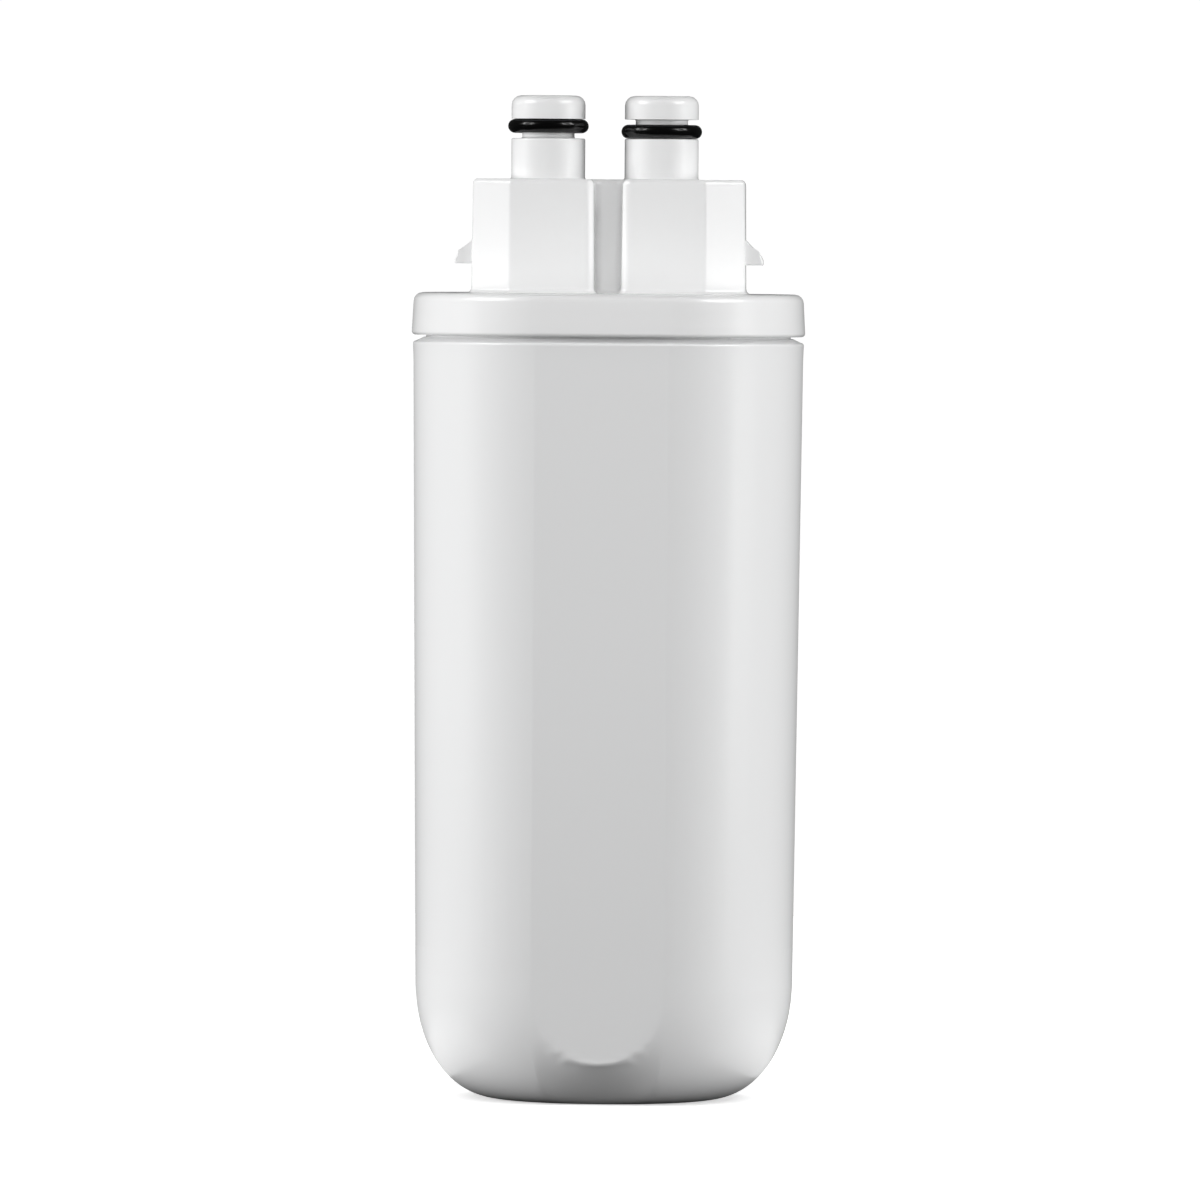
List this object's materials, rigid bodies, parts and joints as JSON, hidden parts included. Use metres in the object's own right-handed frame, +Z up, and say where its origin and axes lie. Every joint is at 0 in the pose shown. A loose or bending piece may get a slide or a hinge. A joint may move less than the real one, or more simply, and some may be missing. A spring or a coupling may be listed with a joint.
{
  "type": "countertop water filter cartridge",
  "caption": "Sealed water filter cartridge: a domed white cup, a welded cap with port towers, nipples with seal rings and latch ears, and a hollow carbon filter element inside.",
  "frame": {"origin": "centre of the flat foot, on the floor", "axes": "+Z up along the cup, +X to the right seen from the front, where the outlet nipple is, and the front panel faces -Y"},
  "size_m": [0.0706, 0.058, 0.1803],
  "materials": {
    "cup_plastic": "white injection moulded plastic, satin",
    "cap_plastic": "white injection moulded plastic, satin",
    "seal_rubber": "black, lightly greased",
    "end_cap_plastic": "natural moulded plastic",
    "glue": "set hot melt",
    "carbon": "porous sintered carbon",
    "nonwoven": "white non-woven sheet",
    "net_plastic": "extruded net",
    "core_plastic": "natural moulded plastic"
  },
  "bodies": {
    "root": {"housing": "cup_plastic", "cap": "cap_plastic", "inlet_o_ring": "seal_rubber", "outlet_o_ring": "seal_rubber", "top_end_cap": "end_cap_plastic", "spigot_o_ring": "seal_rubber", "top_glue_bead": "glue", "carbon_block": "carbon", "prefilter_wrap": "nonwoven", "outer_net": "net_plastic", "post_filter_sleeve": "nonwoven", "core_tube": "core_plastic", "bottom_glue_bead": "glue", "bottom_end_cap": "end_cap_plastic"}
  },
  "joints": []
}
